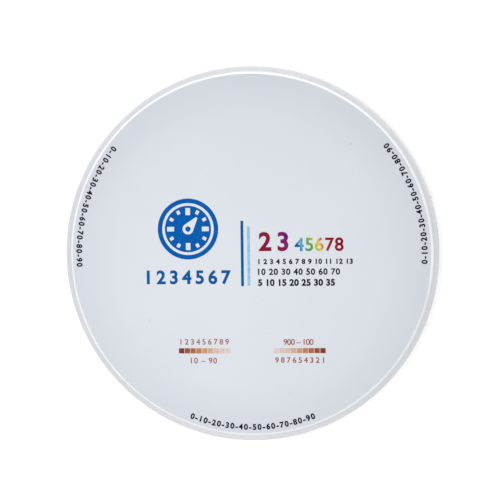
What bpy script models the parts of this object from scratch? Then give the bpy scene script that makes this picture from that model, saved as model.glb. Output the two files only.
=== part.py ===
"""A dental milling disc: one turned blank of pre-sintered zirconia with a clamping rim.

Run it with blender --background --python part.py, or from Blender's text editor.

The disc lies on its plain face. The origin is the centre of that face, and +Z is the disc's axis,
which points out of the upper face. Two round faces stand proud of the rim and leave a shoulder all
round on both sides, where a milling machine's holder grips the disc. All sizes are in metres.
"""

import math

import bmesh
import bpy

# The rim, which fits the holder's seat
RIM_DIAMETER = 0.0985
RIM_HEIGHT = 0.010
RIM_EDGE_RADIUS = 0.0005

# The shoulder between the rim and each face
SHOULDER_WIDTH = 0.0015
SHOULDER_FILLET = 0.0003

# The faces: how far each stands proud of the rim, and the bevel that breaks its edge
UPPER_FACE_STEP = 0.001
LOWER_FACE_STEP = 0.001
FACE_CHAMFER = 0.0005

# How finely the turned shape is cut into facets
TURNING_STEPS = 144
FILLET_STEPS = 3
RIM_EDGE_STEPS = 4

# Points this close together are one point
WELD_DISTANCE = 1e-6
SHARP_EDGE_ANGLE = math.radians(30)

CERAMIC_COLOUR = (0.77, 0.80, 0.84, 1.0)
CERAMIC_ROUGHNESS = 0.62


def clear_scene():
    """Removes every object that the scene holds."""
    for obj in list(bpy.data.objects):
        bpy.data.objects.remove(obj, do_unlink=True)


def arc_points(centre, radius, start_degrees, end_degrees, steps):
    """Points along an arc in the section plane, from the start angle to the end angle."""
    points = []
    for step in range(steps + 1):
        angle = math.radians(start_degrees + (end_degrees - start_degrees) * step / steps)
        points.append((centre[0] + radius * math.cos(angle), centre[1] + radius * math.sin(angle)))
    return points


def side_outline(face_step):
    """One side of the disc's section, from the axis out to the rim's wall.

    Each point is a radius and a height above the shoulder. The face's edge has a chamfer, its wall
    meets the shoulder in a fillet, and the shoulder rolls over into the rim's wall.
    """
    rim_radius = RIM_DIAMETER / 2
    face_radius = rim_radius - SHOULDER_WIDTH
    fillet = min(SHOULDER_FILLET, face_step - FACE_CHAMFER)
    face = [
        (0.0, face_step),
        (face_radius - FACE_CHAMFER, face_step),
        (face_radius, face_step - FACE_CHAMFER),
    ]
    foot = arc_points((face_radius + fillet, fillet), fillet, 180, 270, FILLET_STEPS)
    edge_centre = (rim_radius - RIM_EDGE_RADIUS, -RIM_EDGE_RADIUS)
    edge = arc_points(edge_centre, RIM_EDGE_RADIUS, 90, 0, RIM_EDGE_STEPS)
    return face + foot + edge


def disc_section():
    """The disc's whole section, from the middle of the upper face round to the middle of the lower."""
    lower_shoulder = LOWER_FACE_STEP
    upper_shoulder = lower_shoulder + RIM_HEIGHT
    upper = [(radius, upper_shoulder + height) for radius, height in side_outline(UPPER_FACE_STEP)]
    lower = [(radius, lower_shoulder - height) for radius, height in side_outline(LOWER_FACE_STEP)]
    return upper + lower[::-1]


def turned_mesh(name, section):
    """A closed mesh made by turning a section, given as radius and height, about the Z axis."""
    bm = bmesh.new()
    corners = [bm.verts.new((radius, 0.0, height)) for radius, height in section]
    edges = [bm.edges.new(pair) for pair in zip(corners, corners[1:])]
    bmesh.ops.spin(
        bm,
        geom=corners + edges,
        cent=(0.0, 0.0, 0.0),
        axis=(0.0, 0.0, 1.0),
        angle=2 * math.pi,
        steps=TURNING_STEPS,
        use_merge=True,
    )
    bmesh.ops.remove_doubles(bm, verts=bm.verts, dist=WELD_DISTANCE)
    bmesh.ops.recalc_face_normals(bm, faces=bm.faces)
    mesh = bpy.data.meshes.new(name)
    bm.to_mesh(mesh)
    bm.free()
    mesh.shade_smooth()
    mesh.set_sharp_from_angle(angle=SHARP_EDGE_ANGLE)
    return mesh


def ceramic_material():
    """Chalky white pre-sintered ceramic."""
    material = bpy.data.materials.new("zirconia_ceramic")
    material.use_nodes = True
    shader = material.node_tree.nodes["Principled BSDF"]
    shader.inputs["Base Color"].default_value = CERAMIC_COLOUR
    shader.inputs["Roughness"].default_value = CERAMIC_ROUGHNESS
    shader.inputs["Metallic"].default_value = 0.0
    return material


def add_milling_disc():
    """The milling disc, one turned piece, lying on its lower face at the origin."""
    disc = bpy.data.objects.new("milling_disc", turned_mesh("milling_disc", disc_section()))
    disc.data.materials.append(ceramic_material())
    bpy.context.scene.collection.objects.link(disc)
    return disc


clear_scene()
add_milling_disc()
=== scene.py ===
"""The looks of a dental milling disc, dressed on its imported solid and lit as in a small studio.

The disc lies on its plain face, with its axis along +Z and its printed face up. Everything is in
metres in the solid's own frame. The ceramic body is turned again here in finer steps, with softened
edges and a chalky finish. The print on it is thin films of ink: plain numbers, a dial, two bars and
two shade scales.
"""

import logging
import math
from collections.abc import Sequence
from dataclasses import dataclass, field
from enum import Enum
from typing import Any

import bmesh
import bpy
from mathutils import Matrix, Vector


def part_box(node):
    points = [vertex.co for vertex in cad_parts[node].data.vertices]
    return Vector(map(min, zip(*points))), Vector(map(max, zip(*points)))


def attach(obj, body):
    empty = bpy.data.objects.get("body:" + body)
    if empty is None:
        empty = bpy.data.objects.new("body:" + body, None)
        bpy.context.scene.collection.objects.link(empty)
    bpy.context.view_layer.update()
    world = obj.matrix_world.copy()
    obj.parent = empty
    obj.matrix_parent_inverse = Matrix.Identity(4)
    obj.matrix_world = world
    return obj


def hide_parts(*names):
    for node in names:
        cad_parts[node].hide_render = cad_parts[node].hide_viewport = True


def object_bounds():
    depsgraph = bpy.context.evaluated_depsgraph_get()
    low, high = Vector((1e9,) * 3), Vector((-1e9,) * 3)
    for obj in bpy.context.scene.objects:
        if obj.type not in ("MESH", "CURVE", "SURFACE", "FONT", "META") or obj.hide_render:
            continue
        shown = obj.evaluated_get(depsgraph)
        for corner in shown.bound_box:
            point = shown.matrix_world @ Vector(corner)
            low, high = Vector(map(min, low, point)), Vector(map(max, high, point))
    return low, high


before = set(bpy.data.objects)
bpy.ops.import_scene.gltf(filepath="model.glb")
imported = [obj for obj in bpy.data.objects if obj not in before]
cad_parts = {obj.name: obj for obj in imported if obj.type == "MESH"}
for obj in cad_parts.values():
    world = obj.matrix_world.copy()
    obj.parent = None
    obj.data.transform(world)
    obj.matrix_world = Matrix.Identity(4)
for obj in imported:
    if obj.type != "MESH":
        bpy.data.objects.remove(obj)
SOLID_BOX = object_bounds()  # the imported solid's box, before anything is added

log = logging.getLogger("milling_disc")

MM = 0.001
BODY = "root"
DISC_NODE = "milling_disc"

# Points this close together become one, in the turned body and in a film of ink
WELD_DISTANCE = 1e-7
FILM_WELD_DISTANCE = 1e-5

# A radius that lies past the whole disc
BEYOND = 1.0

Colour = tuple[float, float, float]
Place = tuple[float, float, float]
Point = tuple[float, float]
Stop = tuple[float, Colour]
Socket = bpy.types.NodeSocket

WHITE: Colour = (1.0, 1.0, 1.0)
CERAMIC_COLOUR: Colour = (0.780, 0.809, 0.856)


def screen_colour(red: int, green: int, blue: int) -> Colour:
    """Turns a colour as a screen shows it into the linear colour that a shader takes.

    Args:
        red: Red, from 0 to 255.
        green: Green, from 0 to 255.
        blue: Blue, from 0 to 255.

    Returns:
        The linear colour, each part from 0 to 1.
    """
    def linear(value: int) -> float:
        """One part of the colour, made linear."""
        share = value / 255
        return share / 12.92 if share <= 0.04045 else ((share + 0.055) / 1.055) ** 2.4

    return linear(red), linear(green), linear(blue)


def opaque(colour: Colour) -> tuple[float, float, float, float]:
    """The colour with a fourth part that makes it solid."""
    return (*colour, 1.0)


# Shader building


class SocketKind(Enum):
    """The kinds of socket that a shared effect has."""

    VALUE = "NodeSocketFloat"
    VECTOR = "NodeSocketVector"


class ShaderGraph:
    """Adds nodes to a material or a node group, with their settings and links in one call."""

    def __init__(self, tree: bpy.types.NodeTree) -> None:
        """Starts on a node tree.

        Args:
            tree: The tree that the nodes go into.
        """
        self.tree = tree

    def feed(self, sockets: Any, values: dict[Any, Any]) -> None:
        """Gives each input its value, or links it to the socket that feeds it.

        Args:
            sockets: The inputs.
            values: What each of them holds, by its name or number.
        """
        for name, value in values.items():
            if isinstance(value, Socket):
                self.tree.links.new(value, sockets[name])
            else:
                sockets[name].default_value = value

    def add(
        self, kind: str, inputs: dict[Any, Any] | None = None, **settings: Any
    ) -> bpy.types.Node:
        """Adds one node.

        Args:
            kind: The node's type, as Blender names it.
            inputs: What each input holds, a value or the socket that feeds it.
            **settings: The node's own settings.

        Returns:
            The new node.
        """
        node = self.tree.nodes.new(kind)
        for name, value in settings.items():
            setattr(node, name, value)
        self.feed(node.inputs, inputs or {})
        return node

    def math(self, operation: str, *values: Socket | float, clamp: bool = False) -> Socket:
        """Adds a Math node.

        Args:
            operation: What the node does, as Blender names it.
            *values: Its inputs in order.
            clamp: Whether the result is kept from 0 to 1.

        Returns:
            The result.
        """
        inputs = dict(enumerate(values))
        return self.add("ShaderNodeMath", inputs, operation=operation, use_clamp=clamp).outputs[0]

    def vector(self, operation: str, *values: Any) -> Any:
        """Adds a Vector Math node.

        Args:
            operation: What the node does, as Blender names it.
            *values: Its inputs in order.

        Returns:
            The outputs, Vector and Value.
        """
        inputs = dict(enumerate(values))
        return self.add("ShaderNodeVectorMath", inputs, operation=operation).outputs

    def blend(self, share: Socket | float, first: Any, second: Any) -> Socket:
        """Blends two colours.

        Args:
            share: How much of the second shows, from 0 to 1.
            first: The first colour, or its socket.
            second: The second colour, or its socket.

        Returns:
            The blended colour.
        """
        inputs = {0: share, 6: first, 7: second}
        return self.add("ShaderNodeMix", inputs, data_type="RGBA").outputs[2]

    def remap(
        self, value: Socket, low: float, high: float, out_low: float = 0.0, out_high: float = 1.0
    ) -> Socket:
        """Eases a value from one range into another.

        Args:
            value: The value.
            low: Where the range starts.
            high: Where it ends.
            out_low: The result at the start and before it.
            out_high: The result at the end and past it.

        Returns:
            The eased value.
        """
        inputs = {0: value, 1: low, 2: high, 3: out_low, 4: out_high}
        return self.add("ShaderNodeMapRange", inputs, interpolation_type="SMOOTHSTEP").outputs[0]

    def ramp(self, value: Socket, stops: Sequence[Stop]) -> Socket:
        """Colours a value by a ramp.

        Args:
            value: The value, from 0 to 1.
            stops: The ramp's stops in order, each a place and a colour.

        Returns:
            The colour.
        """
        node = self.add("ShaderNodeValToRGB", {0: value})
        elements = node.color_ramp.elements
        elements.remove(elements[1])
        elements[0].position, elements[0].color = stops[0][0], opaque(stops[0][1])
        for place, colour in stops[1:]:
            elements.new(place).color = opaque(colour)
        return node.outputs[0]

    def noise(
        self, point: Socket, per_metre: Socket | float, detail: float, roughness: float = 0.5
    ) -> Socket:
        """Adds a noise.

        Args:
            point: The point that it is read at.
            per_metre: How many of its swells lie in a metre.
            detail: How many finer layers it has.
            roughness: How strong the finer layers are.

        Returns:
            The noise, from 0 to 1.
        """
        inputs = {"Vector": point, "Scale": per_metre, "Detail": detail, "Roughness": roughness}
        return self.add("ShaderNodeTexNoise", inputs).outputs[0]

    def dots(
        self, point: Socket, per_metre: Socket, share: Socket, core: float, edge: float, draw: int
    ) -> Socket:
        """Scatters soft round dots over some of a pattern's cells.

        Args:
            point: The point that the pattern is read at.
            per_metre: How many cells lie in a metre.
            share: The share of the cells that has a dot.
            core: How far a dot is full, as a share of its cell.
            edge: How far its soft edge reaches.
            draw: Which of a cell's three random numbers decides.

        Returns:
            The dots' mask.
        """
        cells = self.add("ShaderNodeTexVoronoi", {"Vector": point, "Scale": per_metre}).outputs
        chosen = self.add("ShaderNodeSeparateColor", {0: cells["Color"]}).outputs[draw]
        has_dot = self.math("LESS_THAN", chosen, share)
        dot = self.remap(cells["Distance"], core, edge, out_low=1.0, out_high=0.0)
        return self.math("MULTIPLY", dot, has_dot)

    def axes(self, point: Socket) -> Any:
        """Takes a point apart into its X, Y and Z."""
        return self.add("ShaderNodeSeparateXYZ", {0: point}).outputs

    def axis_radius(self, point: Socket) -> Socket:
        """How far a point lies from the Z axis.

        Args:
            point: The point.

        Returns:
            The distance.
        """
        axes = self.axes(point)
        flat = self.add("ShaderNodeCombineXYZ", {0: axes[0], 1: axes[1]}).outputs[0]
        return self.vector("LENGTH", flat)["Value"]


def new_effect(
    name: str, starts: dict[str, Any], puts_out: Sequence[str]
) -> tuple[ShaderGraph, Any, Any]:
    """Starts a shared effect, which reads a point and puts out values.

    Args:
        name: The effect's name.
        starts: Its inputs besides the point, each with the value or vector that it starts at.
        puts_out: The names of the values that it puts out.

    Returns:
        The graph, the group's input sockets and its output sockets.
    """
    tree = bpy.data.node_groups.new(name, "ShaderNodeTree")
    for label, start in {"Point": (0.0, 0.0, 0.0), **starts}.items():
        kind = SocketKind.VECTOR if isinstance(start, tuple) else SocketKind.VALUE
        socket = tree.interface.new_socket(name=label, in_out="INPUT", socket_type=kind.value)
        socket.default_value = start
    for label in puts_out:
        kind = SocketKind.VALUE
        tree.interface.new_socket(name=label, in_out="OUTPUT", socket_type=kind.value)
    graph = ShaderGraph(tree)
    return graph, graph.add("NodeGroupInput").outputs, graph.add("NodeGroupOutput").inputs


def powder_grain_effect() -> bpy.types.NodeTree:
    """Pressed powder: a fine even grain, with darker specks where a coarser grain went in.

    Returns:
        The effect's node group.
    """
    starts = {"Grains per metre": 5000.0, "Specks per metre": 700.0, "Speck share": 0.25}
    graph, given, put = new_effect("powder_grain", starts, ("Height", "Specks"))
    per_metre, share = given["Specks per metre"], given["Speck share"]
    grain = graph.noise(given["Point"], given["Grains per metre"], detail=3.0, roughness=0.6)
    specks = graph.dots(given["Point"], per_metre, share, core=0.05, edge=0.17, draw=0)
    graph.feed(put, {"Height": grain, "Specks": specks})
    return graph.tree


def soft_mottle_effect() -> bpy.types.NodeTree:
    """Cloudy patches with soft edges, as handling and uneven pressing leave.

    Returns:
        The effect's node group.
    """
    graph, given, put = new_effect("soft_mottle", {"Patches per metre": 70.0}, ("Mask",))
    patches = graph.noise(given["Point"], given["Patches per metre"], detail=4.0, roughness=0.55)
    graph.feed(put, {"Mask": graph.remap(patches, low=0.32, high=0.68)})
    return graph.tree


def turning_marks_effect() -> bpy.types.NodeTree:
    """The faint rings that a lathe tool leaves round the Z axis, on flat faces and on walls alike.

    They are fainter in some places than in others.

    Returns:
        The effect's node group.
    """
    places_per_metre, faintest = 40.0, 0.25
    graph, given, put = new_effect("turning_marks", {"Marks per metre": 3000.0}, ("Height",))
    radius, height = graph.axis_radius(given["Point"]), graph.axes(given["Point"])[2]
    section = graph.add("ShaderNodeCombineXYZ", {0: radius, 1: height}).outputs[0]
    rings = graph.noise(section, given["Marks per metre"], detail=2.0)
    places = graph.noise(given["Point"], places_per_metre, detail=2.0)
    strength = graph.remap(places, low=0.4, high=0.65, out_low=faintest)
    graph.feed(put, {"Height": graph.math("MULTIPLY", rings, strength)})
    return graph.tree


def ring_band_effect() -> bpy.types.NodeTree:
    """A mask of a ring round the Z axis, full between two radii and soft past them.

    Returns:
        The effect's node group.
    """
    starts = {"Inner radius": 0.0, "Outer radius": 0.05, "Softness": 0.0005}
    graph, given, put = new_effect("ring_band", starts, ("Mask",))
    radius = graph.axis_radius(given["Point"])
    past_inner = graph.math("SUBTRACT", radius, given["Inner radius"])
    short_of_outer = graph.math("SUBTRACT", given["Outer radius"], radius)
    depth = graph.math("MINIMUM", past_inner, short_of_outer)
    steps = graph.math("DIVIDE", depth, given["Softness"])
    graph.feed(put, {"Mask": graph.remap(steps, low=-1.0, high=0.0)})
    return graph.tree


def smudge_effect() -> bpy.types.NodeTree:
    """A mask of one spot with a soft, slightly uneven edge, longer one way than the other.

    Returns:
        The effect's node group.
    """
    edge_waves_per_metre, unevenness = 1800.0, 0.6
    starts = {
        "Centre": (0.0, 0.0, 0.0),
        "Along": (1.0, 0.0, 0.0),
        "Half width": 0.0005,
        "Stretch": 1.0,
    }
    graph, given, put = new_effect("smudge", starts, ("Mask",))
    offset = graph.vector("SUBTRACT", given["Point"], given["Centre"])["Vector"]
    reach = graph.vector("DOT_PRODUCT", offset, given["Along"])["Value"]
    surplus = graph.math("SUBTRACT", reach, graph.math("DIVIDE", reach, given["Stretch"]))
    scaled = {0: given["Along"], "Scale": surplus}
    back = graph.add("ShaderNodeVectorMath", scaled, operation="SCALE").outputs["Vector"]
    squeezed = graph.vector("SUBTRACT", offset, back)["Vector"]
    share = graph.math("DIVIDE", graph.vector("LENGTH", squeezed)["Value"], given["Half width"])
    waves = graph.noise(given["Point"], edge_waves_per_metre, detail=1.0)
    edge = graph.math("MULTIPLY_ADD", waves, unevenness, share)
    graph.feed(put, {"Mask": graph.remap(edge, low=0.5, high=1.5, out_low=1.0, out_high=0.0)})
    return graph.tree


def ink_film_effect() -> bpy.types.NodeTree:
    """A pad-printed film: slightly thinner in places, with pinholes that bare the ceramic.

    Returns:
        The effect's node group.
    """
    flows_per_metre, wrinkles_per_metre = 900.0, 9000.0
    starts = {"Pinholes per metre": 3500.0, "Pinhole share": 0.06}
    graph, given, put = new_effect("ink_film", starts, ("Bare", "Thin", "Height"))
    per_metre, share = given["Pinholes per metre"], given["Pinhole share"]
    pinholes = graph.dots(given["Point"], per_metre, share, core=0.10, edge=0.26, draw=1)
    flow = graph.noise(given["Point"], flows_per_metre, detail=3.0)
    skin = graph.noise(given["Point"], wrinkles_per_metre, detail=2.0)
    thin = graph.remap(flow, low=0.35, high=0.65)
    graph.feed(put, {"Bare": pinholes, "Thin": thin, "Height": skin})
    return graph.tree


@dataclass(frozen=True)
class SharedEffects:
    """The node groups that more than one finish uses, each built once."""

    powder_grain: bpy.types.NodeTree = field(default_factory=powder_grain_effect)
    soft_mottle: bpy.types.NodeTree = field(default_factory=soft_mottle_effect)
    turning_marks: bpy.types.NodeTree = field(default_factory=turning_marks_effect)
    ring_band: bpy.types.NodeTree = field(default_factory=ring_band_effect)
    smudge: bpy.types.NodeTree = field(default_factory=smudge_effect)
    ink_film: bpy.types.NodeTree = field(default_factory=ink_film_effect)


class FinishGraph(ShaderGraph):
    """A material in the making, on Object coordinates."""

    def __init__(self, name: str, effects: SharedEffects) -> None:
        """Starts the material.

        Args:
            name: The material's name.
            effects: The shared effects.
        """
        self.material = bpy.data.materials.new(name)
        self.material.use_nodes = True
        super().__init__(self.material.node_tree)
        self.effects = effects
        self.point = self.add("ShaderNodeTexCoord").outputs["Object"]

    def effect(self, tree: bpy.types.NodeTree, values: dict[str, Any] | None = None) -> Any:
        """Places a shared effect.

        Args:
            tree: The effect's node group.
            values: What its inputs besides the point hold.

        Returns:
            What it puts out.
        """
        inputs = {"Point": self.point, **(values or {})}
        return self.add("ShaderNodeGroup", inputs, node_tree=tree).outputs

    def band(self, inner_radius: float, outer_radius: float, softness: float) -> Socket:
        """Masks a ring round the Z axis.

        Args:
            inner_radius: Where the ring starts.
            outer_radius: Where it ends.
            softness: How far its mask fades past both.

        Returns:
            The mask.
        """
        values = {"Inner radius": inner_radius, "Outer radius": outer_radius, "Softness": softness}
        return self.effect(self.effects.ring_band, values)["Mask"]

    def normal(self, height: Socket) -> Socket:
        """Turns a height in metres into a normal."""
        inputs = {"Height": height, "Distance": 1.0, "Strength": 1.0}
        return self.add("ShaderNodeBump", inputs).outputs[0]

    def finished(self, values: dict[str, Any]) -> bpy.types.Material:
        """Feeds the Principled BSDF.

        Args:
            values: What its inputs hold.

        Returns:
            The material.
        """
        self.feed(self.tree.nodes["Principled BSDF"].inputs, values)
        return self.material


# Finishes


@dataclass(frozen=True)
class Smudge:
    """A faint mark on the printed face.

    It lies along an angle, in degrees from +X, and its share is how much it darkens the ceramic.
    """

    place: Point
    half_width: float
    stretch: float
    angle: float
    share: float

    def mask(self, graph: FinishGraph, height: float) -> Socket:
        """Masks the mark on a face at a height.

        Args:
            graph: The material's graph.
            height: The face's height.

        Returns:
            The mask, full at the mark's share.
        """
        turn = math.radians(self.angle)
        values = {
            "Centre": (*self.place, height),
            "Along": (math.cos(turn), math.sin(turn), 0.0),
            "Half width": self.half_width,
            "Stretch": self.stretch,
        }
        spot = graph.effect(graph.effects.smudge, values)["Mask"]
        return graph.math("MULTIPLY", spot, self.share)


@dataclass(frozen=True)
class TurnedSizes:
    """The sizes that the ceramic's finish follows.

    Both faces are flat out to flat_radius, where a chamfer leads down to face_radius. The rim's
    wall stands at rim_radius, and the printed face lies at face_height.
    """

    flat_radius: float
    face_radius: float
    rim_radius: float
    face_height: float


@dataclass(frozen=True)
class ChalkyCeramic:
    """Pressed, pre-sintered zirconia: chalky, with a fine grain and faint marks of the lathe."""

    face_colour: Colour = CERAMIC_COLOUR
    # Painted shade: the colour that the flat faces darken to towards their edge
    outer_colour: Colour = (0.728, 0.755, 0.806)
    rim_colour: Colour = (0.804, 0.807, 0.827)
    # Painted highlight: the near-white colour of the chamfers round the flat faces
    edge_colour: Colour = (0.952, 0.968, 0.990)
    mottle_colour: Colour = (0.750, 0.779, 0.827)
    speck_colour: Colour = (0.600, 0.620, 0.655)
    smudge_colour: Colour = (0.500, 0.515, 0.555)
    roughness: float = 0.85
    mottle_roughness: float = 0.08
    diffuse_roughness: float = 0.5
    specular_level: float = 0.05
    middle_radius: float = 33.0 * MM
    middle_softness: float = 14.0 * MM
    face_softness: float = 0.4 * MM
    edge_softness: float = 0.06 * MM
    edge_gloss: float = 1.0
    edge_roughness: float = 0.36
    mottle_share: float = 0.35
    mottles_per_metre: float = 55.0
    speck_share: float = 0.30
    grain_height: float = 0.006 * MM
    turning_height: float = 0.004 * MM
    wall_turning_height: float = 0.090 * MM
    wall_depth: float = 0.1 * MM
    wall_softness: float = 0.2 * MM
    smudges: tuple[Smudge, ...] = (
        Smudge((26.61 * MM, 28.69 * MM), 0.33 * MM, 1.7, 175.0, 0.36),
        Smudge((10.09 * MM, -36.29 * MM), 0.34 * MM, 3.2, 81.0, 0.16),
        Smudge((11.20 * MM, -36.37 * MM), 0.24 * MM, 1.2, 0.0, 0.16),
        Smudge((-26.83 * MM, -17.28 * MM), 0.32 * MM, 1.8, 88.0, 0.26),
    )

    def clean_colour(self, graph: FinishGraph, sizes: TurnedSizes) -> Socket:
        """The colour without its marks: the flat faces, with painted shade that darkens them from
        their middle towards their edge, and the rim round them.

        Args:
            graph: The material's graph.
            sizes: The turned body's sizes.

        Returns:
            The colour.
        """
        # Painted shade: paler in the faces' middle, darker towards their edge
        middle = graph.band(-BEYOND, self.middle_radius, self.middle_softness)
        face = graph.band(-BEYOND, sizes.flat_radius, self.face_softness)
        shaded_face = graph.blend(middle, opaque(self.outer_colour), opaque(self.face_colour))
        return graph.blend(face, opaque(self.rim_colour), shaded_face)

    def relief(self, graph: FinishGraph, grain: Socket, rim_radius: float) -> Socket:
        """The height of the grain and of the lathe's marks, which are deepest on the rim's wall.

        Args:
            graph: The material's graph.
            grain: The grain's height, from 0 to 1.
            rim_radius: The radius of the rim's wall.

        Returns:
            The height in metres.
        """
        wall = graph.band(rim_radius - self.wall_depth, BEYOND, self.wall_softness)
        deeper = self.wall_turning_height - self.turning_height
        depth = graph.math("MULTIPLY_ADD", wall, deeper, self.turning_height)
        turning = graph.effect(graph.effects.turning_marks)["Height"]
        lathe = graph.math("MULTIPLY", turning, depth)
        return graph.math("MULTIPLY_ADD", grain, self.grain_height, lathe)

    def material(self, effects: SharedEffects, sizes: TurnedSizes) -> bpy.types.Material:
        """Builds the finish.

        Args:
            effects: The shared effects.
            sizes: The turned body's sizes.

        Returns:
            The material.
        """
        graph = FinishGraph("chalky_ceramic", effects)
        grain = graph.effect(effects.powder_grain)
        patches = {"Patches per metre": self.mottles_per_metre}
        mottle = graph.effect(effects.soft_mottle, patches)["Mask"]
        edge = graph.band(sizes.flat_radius, sizes.face_radius, self.edge_softness)
        colour = self.clean_colour(graph, sizes)
        marks = [
            # Painted highlight: the chamfers' band blends to near white
            (edge, self.edge_colour),
            (graph.math("MULTIPLY", mottle, self.mottle_share), self.mottle_colour),
            (graph.math("MULTIPLY", grain["Specks"], self.speck_share), self.speck_colour),
        ]
        for smudge in self.smudges:
            marks.append((smudge.mask(graph, sizes.face_height), self.smudge_colour))
        for share, mark_colour in marks:
            colour = graph.blend(share, colour, opaque(mark_colour))
        smoothest = self.roughness - self.mottle_roughness / 2
        return graph.finished({
            "Base Color": colour,
            "Roughness": graph.math("MULTIPLY_ADD", mottle, self.mottle_roughness, smoothest),
            "Diffuse Roughness": self.diffuse_roughness,
            "Specular IOR Level": self.specular_level,
            "Coat Weight": graph.math("MULTIPLY", edge, self.edge_gloss),
            "Coat Roughness": self.edge_roughness,
            "Normal": graph.normal(self.relief(graph, grain["Height"], sizes.rim_radius)),
        })


@dataclass(frozen=True, kw_only=True)
class InkFinish:
    """A film of ink, whose colour comes from its pigment."""

    roughness: float = 0.65
    thin_roughness: float = 0.15
    specular_level: float = 0.05
    thin_gain: float = 0.12
    bare_colour: Colour = CERAMIC_COLOUR
    bare_share: float = 0.4
    skin_height: float = 0.002 * MM
    turning_height: float = 0.003 * MM

    def pigment(self, graph: FinishGraph) -> Any:
        """The ink's colour before wear, which each kind of ink gives in its own way.

        Args:
            graph: The material's graph.

        Returns:
            The colour, or the socket that gives it.
        """
        raise NotImplementedError

    def material(self, name: str, effects: SharedEffects) -> bpy.types.Material:
        """Builds the finish.

        Args:
            name: The material's name.
            effects: The shared effects.

        Returns:
            The material.
        """
        graph = FinishGraph(name, effects)
        film = graph.effect(effects.ink_film)
        turning = graph.effect(effects.turning_marks)["Height"]
        gain = graph.math("MULTIPLY_ADD", film["Thin"], self.thin_gain, 1.0 - self.thin_gain / 2)
        inked = {"Color": self.pigment(graph), "Value": gain}
        colour = graph.add("ShaderNodeHueSaturation", inked).outputs[0]
        bare = graph.math("MULTIPLY", film["Bare"], self.bare_share)
        rough = graph.math("MULTIPLY_ADD", film["Thin"], self.thin_roughness, self.roughness)
        lathe = graph.math("MULTIPLY", turning, self.turning_height)
        height = graph.math("MULTIPLY_ADD", film["Height"], self.skin_height, lathe)
        return graph.finished({
            "Base Color": graph.blend(bare, colour, opaque(self.bare_colour)),
            "Roughness": rough,
            "Specular IOR Level": self.specular_level,
            "Normal": graph.normal(height),
        })


@dataclass(frozen=True)
class PlainInk(InkFinish):
    """A film of one ink, the same colour all over."""

    colour: Colour

    def pigment(self, graph: FinishGraph) -> Any:
        """The ink's one colour."""
        return opaque(self.colour)


@dataclass(frozen=True)
class RainbowInk(InkFinish):
    """A film whose colour runs along the row, and a little with the height of the figures.

    Its stops are places along the row in metres, each with a colour.
    """

    stops: tuple[Stop, ...]
    climb: float = 0.45

    def pigment(self, graph: FinishGraph) -> Any:
        """The colour of the ramp at a place along the row.

        Args:
            graph: The material's graph.

        Returns:
            The socket that gives the colour.
        """
        start = self.stops[0][0]
        length = self.stops[-1][0] - start
        axes = graph.axes(graph.point)
        along = graph.math("MULTIPLY_ADD", axes[1], self.climb, axes[0])
        share = graph.math("DIVIDE", graph.math("SUBTRACT", along, start), length, clamp=True)
        stops = [((place - start) / length, colour) for place, colour in self.stops]
        return graph.ramp(share, stops)


@dataclass(frozen=True)
class SteppedInk(InkFinish):
    """A film in even steps of colour, from one end of a scale to the other.

    Its stops are shares of the scale, each with a colour.
    """

    start: float
    pitch: float
    steps: int
    stops: tuple[Stop, ...]

    def pigment(self, graph: FinishGraph) -> Any:
        """The colour of the step that a point lies in.

        Args:
            graph: The material's graph.

        Returns:
            The socket that gives the colour.
        """
        along = graph.math("SUBTRACT", graph.axes(graph.point)[0], self.start)
        step = graph.math("FLOOR", graph.math("DIVIDE", along, self.pitch))
        return graph.ramp(graph.math("DIVIDE", step, self.steps - 1.0, clamp=True), self.stops)


# The rainbow's colours by their place along the row, from the disc's centre
RAINBOW_STOPS = (
    (2.3 * MM, screen_colour(134, 26, 56)),
    (9.2 * MM, screen_colour(138, 24, 60)),
    (11.0 * MM, screen_colour(122, 28, 118)),
    (12.5 * MM, screen_colour(14, 16, 96)),
    (13.5 * MM, screen_colour(28, 88, 172)),
    (14.5 * MM, screen_colour(90, 170, 206)),
    (16.0 * MM, screen_colour(82, 156, 112)),
    (17.1 * MM, screen_colour(110, 166, 56)),
    (18.5 * MM, screen_colour(196, 196, 56)),
    (19.2 * MM, screen_colour(222, 204, 62)),
    (20.0 * MM, screen_colour(214, 122, 46)),
    (20.8 * MM, screen_colour(156, 36, 40)),
    (24.5 * MM, screen_colour(138, 20, 40)),
)

# Tooth shades from dark to pale, as shares of the scale
SHADE_STOPS = (
    (0.0, screen_colour(130, 58, 42)),
    (0.25, screen_colour(174, 103, 72)),
    (0.5, screen_colour(202, 154, 114)),
    (0.75, screen_colour(216, 189, 174)),
    (1.0, screen_colour(217, 204, 202)),
)


# Meshes


def extent(mesh: bpy.types.Mesh) -> tuple[Vector, Vector]:
    """The lowest and highest corner of a mesh.

    Args:
        mesh: The mesh.

    Returns:
        The two corners.
    """
    points = [vertex.co for vertex in mesh.vertices]
    low = Vector(min(point[axis] for point in points) for axis in range(3))
    high = Vector(max(point[axis] for point in points) for axis in range(3))
    return low, high


def settle(bm: bmesh.types.BMesh, weld_distance: float) -> None:
    """Closes the seams of a bmesh and turns its faces outwards.

    Args:
        bm: The bmesh, which is changed.
        weld_distance: Points this close together become one.
    """
    bmesh.ops.remove_doubles(bm, verts=bm.verts, dist=weld_distance)
    bmesh.ops.recalc_face_normals(bm, faces=bm.faces)


def filled(mesh: bpy.types.Mesh, bm: bmesh.types.BMesh) -> bpy.types.Mesh:
    """Puts a bmesh into a mesh, in place of what the mesh holds, and frees the bmesh.

    Args:
        mesh: The mesh, which is changed.
        bm: The bmesh.

    Returns:
        The same mesh.
    """
    bm.to_mesh(mesh)
    bm.free()
    return mesh


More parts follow.
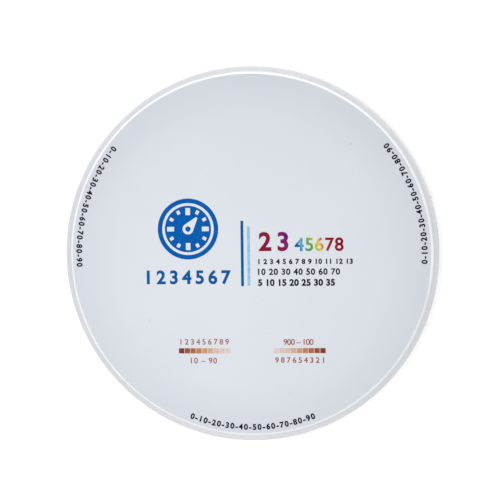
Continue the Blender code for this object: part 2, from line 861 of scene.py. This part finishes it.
def curve_mesh(curve: bpy.types.Curve, edge: float) -> bpy.types.Mesh:
    """Makes a flat curve or a row of text a mesh, and removes the curve.

    Args:
        curve: The flat curve.
        edge: How wide its soft edge is, which it grows outwards by.

    Returns:
        The mesh, closed and in the curve's own place.
    """
    curve.extrude = edge
    curve.bevel_depth = edge
    curve.bevel_resolution = 1
    holder = bpy.data.objects.new(curve.name, curve)
    bpy.context.scene.collection.objects.link(holder)
    depsgraph = bpy.context.evaluated_depsgraph_get()
    mesh = bpy.data.meshes.new_from_object(holder.evaluated_get(depsgraph))
    bpy.data.objects.remove(holder, do_unlink=True)
    bpy.data.curves.remove(curve)
    bm = bmesh.new()
    bm.from_mesh(mesh)
    settle(bm, FILM_WELD_DISTANCE)
    return filled(mesh, bm)


def add_piece(
    name: str, mesh: bpy.types.Mesh, material: bpy.types.Material
) -> bpy.types.Object:
    """Puts a finished mesh in the scene as a piece that rides on the disc's body.

    Args:
        name: The piece's name.
        mesh: Its mesh, already in place.
        material: Its finish.

    Returns:
        The new object, at the origin.
    """
    mesh.name = name
    mesh.materials.clear()
    mesh.materials.append(material)
    piece = bpy.data.objects.new(name, mesh)
    bpy.context.scene.collection.objects.link(piece)
    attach(piece, BODY)
    log.info("%s: %d faces", name, len(mesh.polygons))
    return piece


def arc(centre: Point, radius: float, start: float, end: float, steps: int) -> list[Point]:
    """Points along an arc.

    Args:
        centre: The arc's centre.
        radius: Its radius.
        start: The angle it starts at, in degrees.
        end: The angle it ends at.
        steps: How many straight pieces it has.

    Returns:
        The points, with both ends.
    """
    turns = [math.radians(start + (end - start) * step / steps) for step in range(steps + 1)]
    x, y = centre
    return [(x + radius * math.cos(turn), y + radius * math.sin(turn)) for turn in turns]


def circle(centre: Point, radius: float, steps: int) -> list[Point]:
    """The points of a whole circle, counterclockwise from its right."""
    return arc(centre, radius, 0, 360, steps)[:-1]


# The ceramic body


@dataclass(frozen=True)
class Corner:
    """A corner of the turned section: its radius from the axis, its height and its rounding."""

    radius: float
    height: float
    rounding: float = 0.0


@dataclass(frozen=True)
class Nib:
    """A small nib of ceramic left standing on the rim's wall, near its lower edge.

    Its angle is in degrees from +X, and its rise is how far its middle lies above the lower face.
    The wall is cut finer within its reach.
    """

    angle: float = 16.9
    rise: float = 2.1 * MM
    height: float = 0.42 * MM
    half_width: float = 0.36 * MM
    half_depth: float = 0.80 * MM
    reach: float = 2.0 * MM
    cuts: int = 3


@dataclass(frozen=True)
class CeramicDisc:
    """The turned ceramic body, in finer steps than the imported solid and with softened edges.

    Each rounded corner has a support point on either side of it, and even rings cross the faces and
    the rim's wall, so that the shading stays smooth.
    """

    shoulder_width: float = 1.5 * MM
    face_step: float = 1.0 * MM
    chamfer: float = 0.5 * MM
    fillet: float = 0.3 * MM
    rim_edge: float = 0.5 * MM
    softening: float = 0.09 * MM
    support: float = 0.06 * MM
    turning_steps: int = 360
    rounding_steps: int = 6
    face_rings: int = 10
    wall_rings: int = 13
    nib: Nib = Nib()
    finish: ChalkyCeramic = ChalkyCeramic()

    @property
    def box(self) -> tuple[Vector, Vector]:
        """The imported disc's lowest and highest corner."""
        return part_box(DISC_NODE)

    @property
    def rim_radius(self) -> float:
        """The rim's radius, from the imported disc."""
        low, high = self.box
        return (high.x - low.x) / 2

    @property
    def face_radius(self) -> float:
        """The radius of the raised face at the foot of its chamfer."""
        return self.rim_radius - self.shoulder_width

    @property
    def face_height(self) -> float:
        """The height of the printed face."""
        return self.box[1].z

    def side_corners(self) -> list[Corner]:
        """One side of the section, from the axis to the rim.

        Returns:
            The corners, with their heights above the shoulder.
        """
        chamfer_foot = self.face_step - self.chamfer
        return [
            Corner(0.0, self.face_step),
            Corner(self.face_radius - self.chamfer, self.face_step, self.softening),
            Corner(self.face_radius, chamfer_foot, self.softening),
            Corner(self.face_radius, 0.0, self.fillet),
            Corner(self.rim_radius, 0.0, self.rim_edge),
        ]

    def section_corners(self) -> list[Corner]:
        """The whole section, from the middle of the printed face to the middle of the plain one.

        Returns:
            The corners.
        """
        low, high = self.box
        side = self.side_corners()
        upper = [Corner(c.radius, high.z - self.face_step + c.height, c.rounding) for c in side]
        lower = [Corner(c.radius, low.z + self.face_step - c.height, c.rounding) for c in side]
        return upper + lower[::-1]

    def rounded_section(self) -> list[Point]:
        """The section's points: its corners rounded off, with a support point beside each rounding.

        Returns:
            The points, each a radius and a height.
        """
        corners = self.section_corners()
        points = [(corners[0].radius, corners[0].height)]
        for before, corner, after in zip(corners, corners[1:], corners[2:]):
            points += self.rounded_corner(before, corner, after)
        points.append((corners[-1].radius, corners[-1].height))
        return self.with_even_rings(points)

    def rounded_corner(self, before: Corner, corner: Corner, after: Corner) -> list[Point]:
        """Rounds one corner off.

        Args:
            before: The corner before it.
            corner: The corner.
            after: The corner after it.

        Returns:
            The arc's points, with a support point before and after it.
        """
        here = Vector((corner.radius, corner.height))
        back = Vector((before.radius, before.height)) - here
        on = Vector((after.radius, after.height)) - here
        half_angle = back.angle(on) / 2
        room_back = back.length - self.tangent_length(before, half_angle)
        tangent = min(corner.rounding / math.tan(half_angle), room_back)
        radius = tangent * math.tan(half_angle)
        back.normalize()
        on.normalize()
        middle = here + (back + on).normalized() * (radius / math.sin(half_angle))
        start = here + back * tangent - middle
        end = here + on * tangent - middle
        sweep = start.angle_signed(end)
        turns = [-sweep * step / self.rounding_steps for step in range(self.rounding_steps + 1)]
        rounding = [middle + Matrix.Rotation(turn, 2) @ start for turn in turns]
        reach = tangent + self.support
        points = [here + back * reach, *rounding, here + on * reach]
        return [(point.x, point.y) for point in points]

    def tangent_length(self, corner: Corner, half_angle: float) -> float:
        """The length that a corner's rounding and support take from the line to its neighbour.

        Args:
            corner: The corner.
            half_angle: Half the angle between its two lines.

        Returns:
            The length, which is nothing for a sharp corner.
        """
        if corner.rounding == 0:
            return 0.0
        return corner.rounding / math.tan(half_angle) + self.support

    def with_even_rings(self, points: list[Point]) -> list[Point]:
        """Adds even rings across each face, from the axis to its edge, and down the rim's wall.

        Args:
            points: The section's points, as many above the wall's middle as below it.

        Returns:
            The points with the rings.
        """
        half = len(points) // 2
        faces = [step / self.face_rings for step in range(1, self.face_rings)]
        walls = [step / self.wall_rings for step in range(1, self.wall_rings)]
        (first, top), (last, bottom) = points[1], points[-2]
        (radius, wall_top), wall_bottom = points[half - 1], points[half][1]
        upper = [(first * share, top) for share in faces]
        wall = [(radius, wall_top + (wall_bottom - wall_top) * share) for share in walls]
        lower = [(last * share, bottom) for share in reversed(faces)]
        return [points[0], *upper, *points[1:half], *wall, *points[half:-1], *lower, points[-1]]

    def turned(self) -> bmesh.types.BMesh:
        """Turns the section about the Z axis into a closed body.

        Returns:
            The body.
        """
        bm = bmesh.new()
        points = [bm.verts.new((radius, 0.0, height)) for radius, height in self.rounded_section()]
        edges = [bm.edges.new(pair) for pair in zip(points, points[1:])]
        bmesh.ops.spin(
            bm,
            geom=points + edges,
            cent=(0.0, 0.0, 0.0),
            axis=(0.0, 0.0, 1.0),
            angle=2 * math.pi,
            steps=self.turning_steps,
            use_merge=True,
        )
        settle(bm, WELD_DISTANCE)
        return bm

    def raise_nib(self, bm: bmesh.types.BMesh) -> None:
        """Cuts the wall finer round the nib and pushes its points outwards.

        Args:
            bm: The turned body, which is changed.
        """
        nib = self.nib
        turn = math.radians(nib.angle)
        outwards = Vector((math.cos(turn), math.sin(turn), 0.0))
        seat = outwards * self.rim_radius + Vector((0.0, 0.0, self.box[0].z + nib.rise))
        near = {v for v in bm.verts if (v.co - seat).length < nib.reach}
        edges = [edge for edge in bm.edges if edge.verts[0] in near and edge.verts[1] in near]
        bmesh.ops.subdivide_edges(bm, edges=edges, cuts=nib.cuts, use_grid_fill=True)
        along = Vector((0.0, 0.0, 1.0)).cross(outwards)
        for vertex in [v for v in bm.verts if (v.co - seat).length < nib.reach]:
            away = vertex.co - seat
            spread = (away.dot(along) / nib.half_width) ** 2 + (away.z / nib.half_depth) ** 2
            flat = Vector((vertex.co.x, vertex.co.y, 0.0)).normalized()
            vertex.co += flat * nib.height * math.exp(-spread)

    def build(self, effects: SharedEffects) -> bpy.types.Object:
        """Builds the body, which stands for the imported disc.

        Args:
            effects: The shared effects.

        Returns:
            The body's object.
        """
        bm = self.turned()
        self.raise_nib(bm)
        bmesh.ops.recalc_face_normals(bm, faces=bm.faces)
        mesh = filled(bpy.data.meshes.new("ceramic_disc"), bm)
        mesh.shade_smooth()
        flat_radius = self.face_radius - self.chamfer
        sizes = TurnedSizes(flat_radius, self.face_radius, self.rim_radius, self.face_height)
        finish = self.finish.material(effects, sizes)
        body = add_piece("ceramic_disc", mesh, finish)
        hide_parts(DISC_NODE)
        return body


# The print

# How many straight pieces each curve of a figure has
FIGURE_STEPS = 8

# Plain numbers, as rows of figures
ONE_TO_SEVEN = "".join(str(number) for number in range(1, 8))
ONE_TO_NINE = " ".join(str(number) for number in range(1, 10))
ONE_TO_THIRTEEN = " ".join(str(number) for number in range(1, 14))
FIVES = " ".join(str(number) for number in range(5, 40, 5))
TENS = " ".join(str(number) for number in range(10, 80, 10))
RIM_TENS = "-".join(str(number) for number in range(0, 100, 10))


class Ink(Enum):
    """The inks that the face is printed with, by their materials' names."""

    BRIGHT_BLUE = "bright_blue_ink"
    DEEP_BLUE = "deep_blue_ink"
    PALE_BLUE = "pale_blue_ink"
    RAINBOW = "rainbow_ink"
    BLACK = "black_ink"
    RUST = "rust_ink"
    SHADE_SCALE = "shade_scale_ink"


class Weight(Enum):
    """How heavily figures are drawn: how far they grow outwards, as a share of the font's size."""

    LIGHT = 0.014
    MEDIUM = 0.022
    BOLD = 0.032
    HEAVY = 0.045


@dataclass(frozen=True)
class Area:
    """A rectangle on the printed face."""

    left: float
    right: float
    bottom: float
    top: float

    @property
    def width(self) -> float:
        """How wide it is."""
        return self.right - self.left

    @property
    def height(self) -> float:
        """How high it is."""
        return self.top - self.bottom


@dataclass(frozen=True)
class InkFilm:
    """How ink lies on the face: how far it stands proud, and how far its underside is sunk."""

    face_height: float
    proud: float = 0.018 * MM
    sunk: float = 0.004 * MM

    def lay(self, mesh: bpy.types.Mesh) -> bpy.types.Mesh:
        """Gives a flat mesh the film's thickness and puts it on the face.

        Args:
            mesh: The mesh, flat and of any thickness, which is changed.

        Returns:
            The same mesh.
        """
        low, high = extent(mesh)
        thickness = self.proud + self.sunk
        from_bottom = Matrix.Translation((0.0, 0.0, -low.z))
        squeeze = Matrix.Scale(thickness / (high.z - low.z), 4, (0.0, 0.0, 1.0))
        to_face = Matrix.Translation((0.0, 0.0, self.face_height - self.sunk))
        mesh.transform(to_face @ squeeze @ from_bottom)
        return mesh


def outline_mesh(
    name: str, outlines: Sequence[Sequence[Point]], edge: float = 0.01 * MM
) -> bpy.types.Mesh:
    """Fills closed outlines, with every outline inside another one cut out of it.

    Args:
        name: The mesh's name.
        outlines: The outlines, each a list of points.
        edge: How wide the film's soft edge is.

    Returns:
        The flat, closed mesh.
    """
    curve = bpy.data.curves.new(name, "CURVE")
    curve.dimensions = "2D"
    curve.fill_mode = "BOTH"
    for outline in outlines:
        spline = curve.splines.new("POLY")
        spline.points.add(len(outline) - 1)
        for point, (x, y) in zip(spline.points, outline):
            point.co = (x, y, 0.0, 1.0)
        spline.use_cyclic_u = True
    return curve_mesh(curve, edge)


def rounded_rectangle(area: Area, radius: float, steps: int = 5) -> list[Point]:
    """A rectangle's outline with rounded corners.

    Args:
        area: The rectangle.
        radius: The corners' radius.
        steps: How many straight pieces each corner has.

    Returns:
        The outline's points.
    """
    left, right = area.left + radius, area.right - radius
    bottom, top = area.bottom + radius, area.top - radius
    centres = ((right, top, 0), (left, top, 90), (left, bottom, 180), (right, bottom, 270))
    corners = [arc((x, y), radius, turn, turn + 90, steps) for x, y, turn in centres]
    return [point for corner in corners for point in corner]


def turned_outline(outline: Sequence[Point], centre: Point, degrees: float) -> list[Point]:
    """Turns an outline about the origin and moves it to a centre.

    Args:
        outline: The outline's points.
        centre: Where the origin goes.
        degrees: The turn, counterclockwise.

    Returns:
        The moved points.
    """
    turn = Matrix.Rotation(math.radians(degrees), 2)
    return [tuple(turn @ Vector(point) + Vector(centre)) for point in outline]


def figures_mesh(name: str, figures: str, weight: Weight, spacing: float) -> bpy.types.Mesh:
    """Draws a row of figures, flat, with a size of one unit.

    Args:
        name: The mesh's name.
        figures: What the row says.
        weight: How heavily it is drawn.
        spacing: How far apart the figures stand, 1 being the font's own spacing.

    Returns:
        The flat, closed mesh.
    """
    curve = bpy.data.curves.new(name, "FONT")
    curve.body = figures
    curve.space_character = spacing
    curve.resolution_u = FIGURE_STEPS
    return curve_mesh(curve, weight.value)


def fitted_figures(
    name: str, figures: str, weight: Weight, width: float, height: float
) -> bpy.types.Mesh:
    """Draws a row of figures at a wanted height, spaced out to fill a wanted width.

    Two trials show how the row widens with its spacing.

    Args:
        name: The mesh's name.
        figures: What the row says.
        weight: How heavily it is drawn.
        width: How wide the row is.
        height: How high its figures are.

    Returns:
        The flat mesh, with its lower left corner at the origin.
    """
    widths = []
    for spacing in (1.0, 2.0):
        trial = figures_mesh(name, figures, weight, spacing)
        low, high = extent(trial)
        widths.append(high.x - low.x)
        scale = height / (high.y - low.y)
        bpy.data.meshes.remove(trial)
    spacing = 1.0 + (width / scale - widths[0]) / (widths[1] - widths[0])
    mesh = figures_mesh(name, figures, weight, spacing)
    low = extent(mesh)[0]
    mesh.transform(Matrix.Scale(scale, 4) @ Matrix.Translation((-low.x, -low.y, 0.0)))
    return mesh


@dataclass(frozen=True)
class NumberRow:
    """A straight row of figures."""

    name: str
    figures: str
    area: Area
    ink: Ink
    weight: Weight = Weight.MEDIUM

    def mesh(self) -> bpy.types.Mesh:
        """The row, flat, in its place on the face.

        Returns:
            The row's mesh.
        """
        width, height = self.area.width, self.area.height
        mesh = fitted_figures(self.name, self.figures, self.weight, width, height)
        mesh.transform(Matrix.Translation((self.area.left, self.area.bottom, 0.0)))
        return mesh


@dataclass(frozen=True)
class RimNumbers:
    """A row of figures that follows the rim, counterclockwise, with its tops towards the middle.

    Its start and end are angles in degrees from +X.
    """

    name: str
    figures: str
    start: float
    end: float
    inner_radius: float = 44.68 * MM
    outer_radius: float = 46.36 * MM
    ink: Ink = Ink.BLACK
    weight: Weight = Weight.HEAVY

    def mesh(self) -> bpy.types.Mesh:
        """The row, flat, bent round the rim.

        Returns:
            The row's mesh.
        """
        middle = (self.inner_radius + self.outer_radius) / 2
        length = math.radians(self.end - self.start) * middle
        height = self.outer_radius - self.inner_radius
        mesh = fitted_figures(self.name, self.figures, self.weight, length, height)
        for vertex in mesh.vertices:
            turn = math.radians(self.start) + vertex.co.x / middle
            radius = self.outer_radius - vertex.co.y
            vertex.co.x = radius * math.cos(turn)
            vertex.co.y = radius * math.sin(turn)
        return mesh


@dataclass(frozen=True)
class UprightBar:
    """A narrow upright bar."""

    name: str
    area: Area
    ink: Ink
    corner_radius: float = 0.06 * MM

    def mesh(self) -> bpy.types.Mesh:
        """The bar, flat, in its place on the face."""
        return outline_mesh(self.name, [rounded_rectangle(self.area, self.corner_radius)])


@dataclass(frozen=True)
class ShadeScale:
    """A row of squares, one for each tooth shade."""

    name: str
    area: Area
    darkest_first: bool
    squares: int = 9
    gap: float = 0.16 * MM
    corner_radius: float = 0.05 * MM
    ink: Ink = Ink.SHADE_SCALE

    @property
    def pitch(self) -> float:
        """How far apart the squares stand."""
        return (self.area.width + self.gap) / self.squares

    def mesh(self) -> bpy.types.Mesh:
        """The squares, flat, in their place on the face.

        Returns:
            The scale's mesh.
        """
        outlines = []
        for index in range(self.squares):
            left = self.area.left + index * self.pitch
            square = Area(left, left + self.pitch - self.gap, self.area.bottom, self.area.top)
            outlines.append(rounded_rectangle(square, self.corner_radius))
        return outline_mesh(self.name, outlines)

    def finish(self) -> SteppedInk:
        """The scale's ink, which runs from dark to pale or from pale to dark.

        Returns:
            The ink.
        """
        stops = SHADE_STOPS
        if not self.darkest_first:
            stops = tuple((1.0 - place, colour) for place, colour in reversed(SHADE_STOPS))
        return SteppedInk(self.area.left - self.gap / 2, self.pitch, self.squares, stops)


@dataclass(frozen=True)
class DialRoundel:
    """A filled roundel with a plain dial left open in it: a track, a ring of ticks and one needle.

    The track is given by its two radii, and a tick by its length and width. The ticks and the
    needle are turned counterclockwise from the right.
    """

    name: str
    centre: Point
    radius: float = 8.0 * MM
    track: Point = (6.1 * MM, 6.85 * MM)
    tick_end: float = 5.55 * MM
    long_tick: Point = (1.9 * MM, 1.25 * MM)
    short_tick: Point = (1.1 * MM, 0.90 * MM)
    tick_corner: float = 0.12 * MM
    ticks: int = 12
    long_every: int = 3
    needle_angle: float = 52.0
    needle_length: float = 3.5 * MM
    needle_half_width: float = 1.45 * MM
    tip_half_width: float = 0.35 * MM
    hub_radius: float = 0.70 * MM
    circle_steps: int = 144
    hub_steps: int = 32
    needle_end_steps: int = 24
    tip_steps: int = 8
    ink: Ink = Ink.BRIGHT_BLUE

    def tick(self, index: int) -> list[Point]:
        """One tick's outline.

        Args:
            index: The tick's number, counterclockwise from the right.

        Returns:
            The outline's points.
        """
        length, width = self.short_tick if index % self.long_every else self.long_tick
        area = Area(self.tick_end - length, self.tick_end, -width / 2, width / 2)
        outline = rounded_rectangle(area, self.tick_corner)
        return turned_outline(outline, self.centre, index * 360 / self.ticks)

    def needle(self) -> list[Point]:
        """The needle's outline: a blade that narrows to its tip, with a round end at the hub.

        Returns:
            The outline's points.
        """
        taper = (self.needle_half_width - self.tip_half_width) / self.needle_length
        lean = math.degrees(math.asin(taper))
        hub, tip = (0.0, 0.0), (self.needle_length, 0.0)
        outline = arc(hub, self.needle_half_width, 90 - lean, 270 + lean, self.needle_end_steps)
        outline += arc(tip, self.tip_half_width, -90 + lean, 90 - lean, self.tip_steps)
        return turned_outline(outline, self.centre, self.needle_angle)

    def mesh(self) -> bpy.types.Mesh:
        """The roundel, flat, in its place on the face.

        Returns:
            The roundel's mesh.
        """
        radii = (self.radius, *self.track)
        circles = [circle(self.centre, radius, self.circle_steps) for radius in radii]
        hub = circle(self.centre, self.hub_radius, self.hub_steps)
        ticks = [self.tick(index) for index in range(self.ticks)]
        return outline_mesh(self.name, [*circles, *ticks, self.needle(), hub])


def area_mm(left: float, right: float, bottom: float, top: float) -> Area:
    """An area on the face from its four sides in millimetres, from the disc's centre."""
    return Area(left * MM, right * MM, bottom * MM, top * MM)


@dataclass(frozen=True)
class FacePrint:
    """Everything printed on the upper face."""

    film: InkFilm
    roundel: DialRoundel = DialRoundel("dial_roundel", (-16.39 * MM, 6.80 * MM))
    bars: tuple[UprightBar, ...] = (
        UprightBar("deep_blue_bar", area_mm(-2.48, -1.76, -8.31, 8.86), Ink.DEEP_BLUE),
        UprightBar("pale_blue_bar", area_mm(-0.77, -0.05, -8.19, 7.33), Ink.PALE_BLUE),
    )
    rows: tuple[NumberRow, ...] = (
        NumberRow(
            "blue_row", ONE_TO_SEVEN,
            area_mm(-27.52, -5.15, -7.81, -3.99), Ink.DEEP_BLUE, Weight.BOLD,
        ),
        NumberRow("rainbow_pair", "23", area_mm(2.27, 10.04, 0.81, 5.90), Ink.RAINBOW, Weight.BOLD),
        NumberRow("rainbow_five", "45678", area_mm(11.69, 24.50, 0.75, 4.40), Ink.RAINBOW),
        NumberRow(
            "spaced_row", ONE_TO_THIRTEEN,
            area_mm(2.10, 26.86, -2.62, -1.15), Ink.BLACK, Weight.HEAVY,
        ),
        NumberRow("tens_row", TENS, area_mm(1.99, 23.50, -5.43, -3.68), Ink.BLACK, Weight.BOLD),
        NumberRow("fives_row", FIVES, area_mm(1.96, 22.16, -8.31, -6.48), Ink.BLACK, Weight.HEAVY),
        NumberRow(
            "left_scale_top", ONE_TO_NINE,
            area_mm(-18.79, -5.93, -23.73, -22.20), Ink.RUST, Weight.LIGHT,
        ),
        NumberRow(
            "left_scale_foot", "10 – 90",
            area_mm(-16.08, -9.14, -28.72, -27.17), Ink.RUST, Weight.LIGHT,
        ),
        NumberRow(
            "right_scale_top", "900 – 100",
            area_mm(8.50, 16.38, -23.84, -22.24), Ink.RUST, Weight.LIGHT,
        ),
        NumberRow(
            "right_scale_foot", ONE_TO_NINE[::-1],
            area_mm(6.27, 19.10, -28.55, -27.02), Ink.RUST,
        ),
    )
    scales: tuple[ShadeScale, ...] = (
        ShadeScale("left_shade_scale", area_mm(-19.22, -5.50, -26.03, -24.68), True),
        ShadeScale("right_shade_scale", area_mm(5.84, 19.53, -25.95, -24.64), False),
    )
    rim_rows: tuple[RimNumbers, ...] = (
        RimNumbers("left_rim_row", RIM_TENS, 141.3, 183.8),
        RimNumbers("lower_rim_row", RIM_TENS, 249.0, 291.3),
        RimNumbers("right_rim_row", RIM_TENS, -3.4, 38.7),
    )

    def inks(self, effects: SharedEffects) -> dict[Ink, bpy.types.Material]:
        """Mixes the inks that more than one piece may use.

        Args:
            effects: The shared effects.

        Returns:
            The material of each ink.
        """
        finishes = {
            Ink.BRIGHT_BLUE: PlainInk(screen_colour(2, 91, 172)),
            Ink.DEEP_BLUE: PlainInk(screen_colour(12, 88, 156)),
            Ink.PALE_BLUE: PlainInk(screen_colour(149, 196, 231)),
            Ink.BLACK: PlainInk(screen_colour(20, 20, 35)),
            Ink.RUST: PlainInk(screen_colour(158, 97, 78)),
            Ink.RAINBOW: RainbowInk(RAINBOW_STOPS),
        }
        return {ink: finish.material(ink.value, effects) for ink, finish in finishes.items()}

    def build(self, effects: SharedEffects) -> None:
        """Lays every printed piece on the face.

        Args:
            effects: The shared effects.
        """
        inks = self.inks(effects)
        for piece in (self.roundel, *self.bars, *self.rows, *self.rim_rows):
            add_piece(piece.name, self.film.lay(piece.mesh()), inks[piece.ink])
        for scale in self.scales:
            ink = scale.finish().material(scale.name + "_ink", effects)
            add_piece(scale.name, self.film.lay(scale.mesh()), ink)


# The studio


@dataclass(frozen=True)
class Lamp:
    """A soft rectangular lamp that the camera doesn't see.

    Its level is how bright it alone would make a white card that faces it at the disc's centre, if
    it were small.
    """

    name: str
    place: Place
    size: Point
    level: float

    def build(self) -> bpy.types.Object:
        """Hangs the lamp, aimed at the disc's centre.

        Returns:
            The lamp's object.
        """
        data = bpy.data.lights.new(self.name, "AREA")
        data.shape = "RECTANGLE"
        data.size, data.size_y = self.size
        place = Vector(self.place)
        data.energy = self.level * math.pi ** 2 * place.length_squared
        lamp = bpy.data.objects.new(self.name, data)
        lamp.location = place
        lamp.rotation_euler = place.to_track_quat("Z", "Y").to_euler()
        lamp.visible_camera = False
        bpy.context.scene.collection.objects.link(lamp)
        return lamp


@dataclass(frozen=True)
class Camera:
    """The camera, which looks down on the disc from a little to the right and above.

    Its leans are the X and the Y of the unit vector from the disc to the camera, and its roll is in
    degrees.
    """

    aim: Place = (-0.052 * MM, 1.189 * MM, 12.0 * MM)
    distance: float = 500 * MM
    lean_right: float = 0.108
    lean_up: float = 0.056
    roll: float = -0.68
    lens: float = 137.387
    sensor: float = 36.0
    near_clip: float = 1 * MM
    far_clip: float = 100.0

    def build(self) -> bpy.types.Object:
        """Places the camera and makes it the scene's own.

        Returns:
            The camera's object.
        """
        depth = math.sqrt(1 - self.lean_right ** 2 - self.lean_up ** 2)
        backwards = Vector((self.lean_right, self.lean_up, depth))
        upwards = (Vector((0.0, 1.0, 0.0)) - backwards * self.lean_up).normalized()
        rightwards = upwards.cross(backwards)
        turned = Matrix((rightwards, upwards, backwards)).transposed().to_4x4()
        roll = Matrix.Rotation(math.radians(self.roll), 4, "Z")
        data = bpy.data.cameras.new("camera")
        data.lens = self.lens
        data.sensor_width = self.sensor
        data.clip_start = self.near_clip
        data.clip_end = self.far_clip
        camera = bpy.data.objects.new("camera", data)
        place = Matrix.Translation(Vector(self.aim) + backwards * self.distance)
        camera.matrix_world = place @ turned @ roll
        bpy.context.scene.collection.objects.link(camera)
        bpy.context.scene.camera = camera
        return camera


def show_apart(
    graph: ShaderGraph, output: str, lighting: bpy.types.Node, shown: bpy.types.Node
) -> None:
    """Gives the floor or the world one shader for its light and another for how it shows.

    Args:
        graph: Its graph.
        output: The name of its output node.
        lighting: The shader whose light reaches the disc.
        shown: The shader that the camera sees, also off a gloss or through glass.
    """
    path = graph.add("ShaderNodeLightPath").outputs
    seen = graph.math("MAXIMUM", path["Is Camera Ray"], path["Is Glossy Ray"])
    seen = graph.math("MAXIMUM", seen, path["Is Transmission Ray"])
    inputs = {0: seen, 1: lighting.outputs[0], 2: shown.outputs[0]}
    surface = graph.add("ShaderNodeMixShader", inputs).outputs[0]
    graph.feed(graph.tree.nodes[output].inputs, {"Surface": surface})


@dataclass(frozen=True)
class Studio:
    """The floor, the world, the lamps and the camera.

    The camera sees a floor of floor_shown that also glows, from near_glow inside the ring of lamps
    to far_glow past it, and the disc gets the light of a plain floor of floor_bounce.
    """

    camera: Camera = Camera()
    floor_size: float = 6.0
    floor_drop: float = 0.05 * MM
    floor_shown: float = 0.80
    near_glow: float = 0.485
    far_glow: float = 0.775
    glow_rise: Point = (1.20, 1.60)
    floor_bounce: float = 0.60
    world_level: float = 0.358
    lamps: tuple[Lamp, ...] = (
        Lamp("overhead_lamp", (-0.013, -0.010, 0.136), (0.09, 0.09), 0.304),
        Lamp("far_bank", (0.0, 1.60, 0.20), (2.20, 0.24), 0.672),
        Lamp("left_bank", (-1.58, 0.10, 0.26), (0.22, 2.20), 0.704),
        Lamp("right_bank", (1.58, 0.0, 0.26), (0.22, 2.20), 0.668),
        Lamp("near_bank", (0.0, -1.60, 0.26), (2.20, 0.22), 0.292),
    )

    def floor_glow(self, graph: ShaderGraph) -> Socket:
        """How strongly the floor glows: more past the lamps, whose light doesn't reach it there.

        Args:
            graph: The floor's graph.

        Returns:
            The strength.
        """
        point = graph.add("ShaderNodeTexCoord").outputs["Object"]
        radius = graph.vector("LENGTH", point)["Value"]
        return graph.remap(radius, *self.glow_rise, self.near_glow, self.far_glow)

    def build_floor(self) -> bpy.types.Object:
        """Lays the pale floor, which shows white but for the disc's shadow.

        Returns:
            The floor's object.
        """
        bm = bmesh.new()
        bmesh.ops.create_grid(bm, x_segments=1, y_segments=1, size=self.floor_size / 2)
        bmesh.ops.translate(bm, verts=bm.verts, vec=(0.0, 0.0, SOLID_BOX[0].z - self.floor_drop))
        mesh = filled(bpy.data.meshes.new("floor"), bm)
        material = bpy.data.materials.new("pale_floor")
        material.use_nodes = True
        graph = ShaderGraph(material.node_tree)
        shown = material.node_tree.nodes["Principled BSDF"]
        graph.feed(shown.inputs, {
            "Base Color": opaque((self.floor_shown,) * 3),
            "Specular IOR Level": 0.0,
            "Emission Color": self.floor_glow(graph),
            "Emission Strength": 1.0,
        })
        bounce = graph.add("ShaderNodeBsdfDiffuse", {"Color": opaque((self.floor_bounce,) * 3)})
        show_apart(graph, "Material Output", bounce, shown)
        mesh.materials.append(material)
        floor = bpy.data.objects.new("floor", mesh)
        bpy.context.scene.collection.objects.link(floor)
        return floor

    def build_world(self) -> bpy.types.World:
        """Makes an even world that shows white and lights the disc softly from all round.

        Returns:
            The world.
        """
        world = bpy.data.worlds.new("studio_world")
        world.use_nodes = True
        graph = ShaderGraph(world.node_tree)
        light = world.node_tree.nodes["Background"]
        graph.feed(light.inputs, {"Color": opaque(WHITE), "Strength": self.world_level})
        shown = graph.add("ShaderNodeBackground", {"Color": opaque(WHITE), "Strength": 1.0})
        show_apart(graph, "World Output", light, shown)
        bpy.context.scene.world = world
        return world

    def build(self) -> None:
        """Sets the studio up."""
        bpy.context.scene.view_settings.view_transform = "Standard"
        self.camera.build()
        self.build_world()
        self.build_floor()
        for lamp in self.lamps:
            lamp.build()
            log.info("%s: level %.2f", lamp.name, lamp.level)


def main() -> None:
    """Builds the studio, the ceramic body and the print, in that order."""
    logging.basicConfig(level=logging.INFO, format="%(name)s: %(message)s")
    Studio().build()
    effects = SharedEffects()
    disc = CeramicDisc()
    disc.build(effects)
    FacePrint(InkFilm(disc.face_height)).build(effects)


if __name__ == "__main__":
    main()
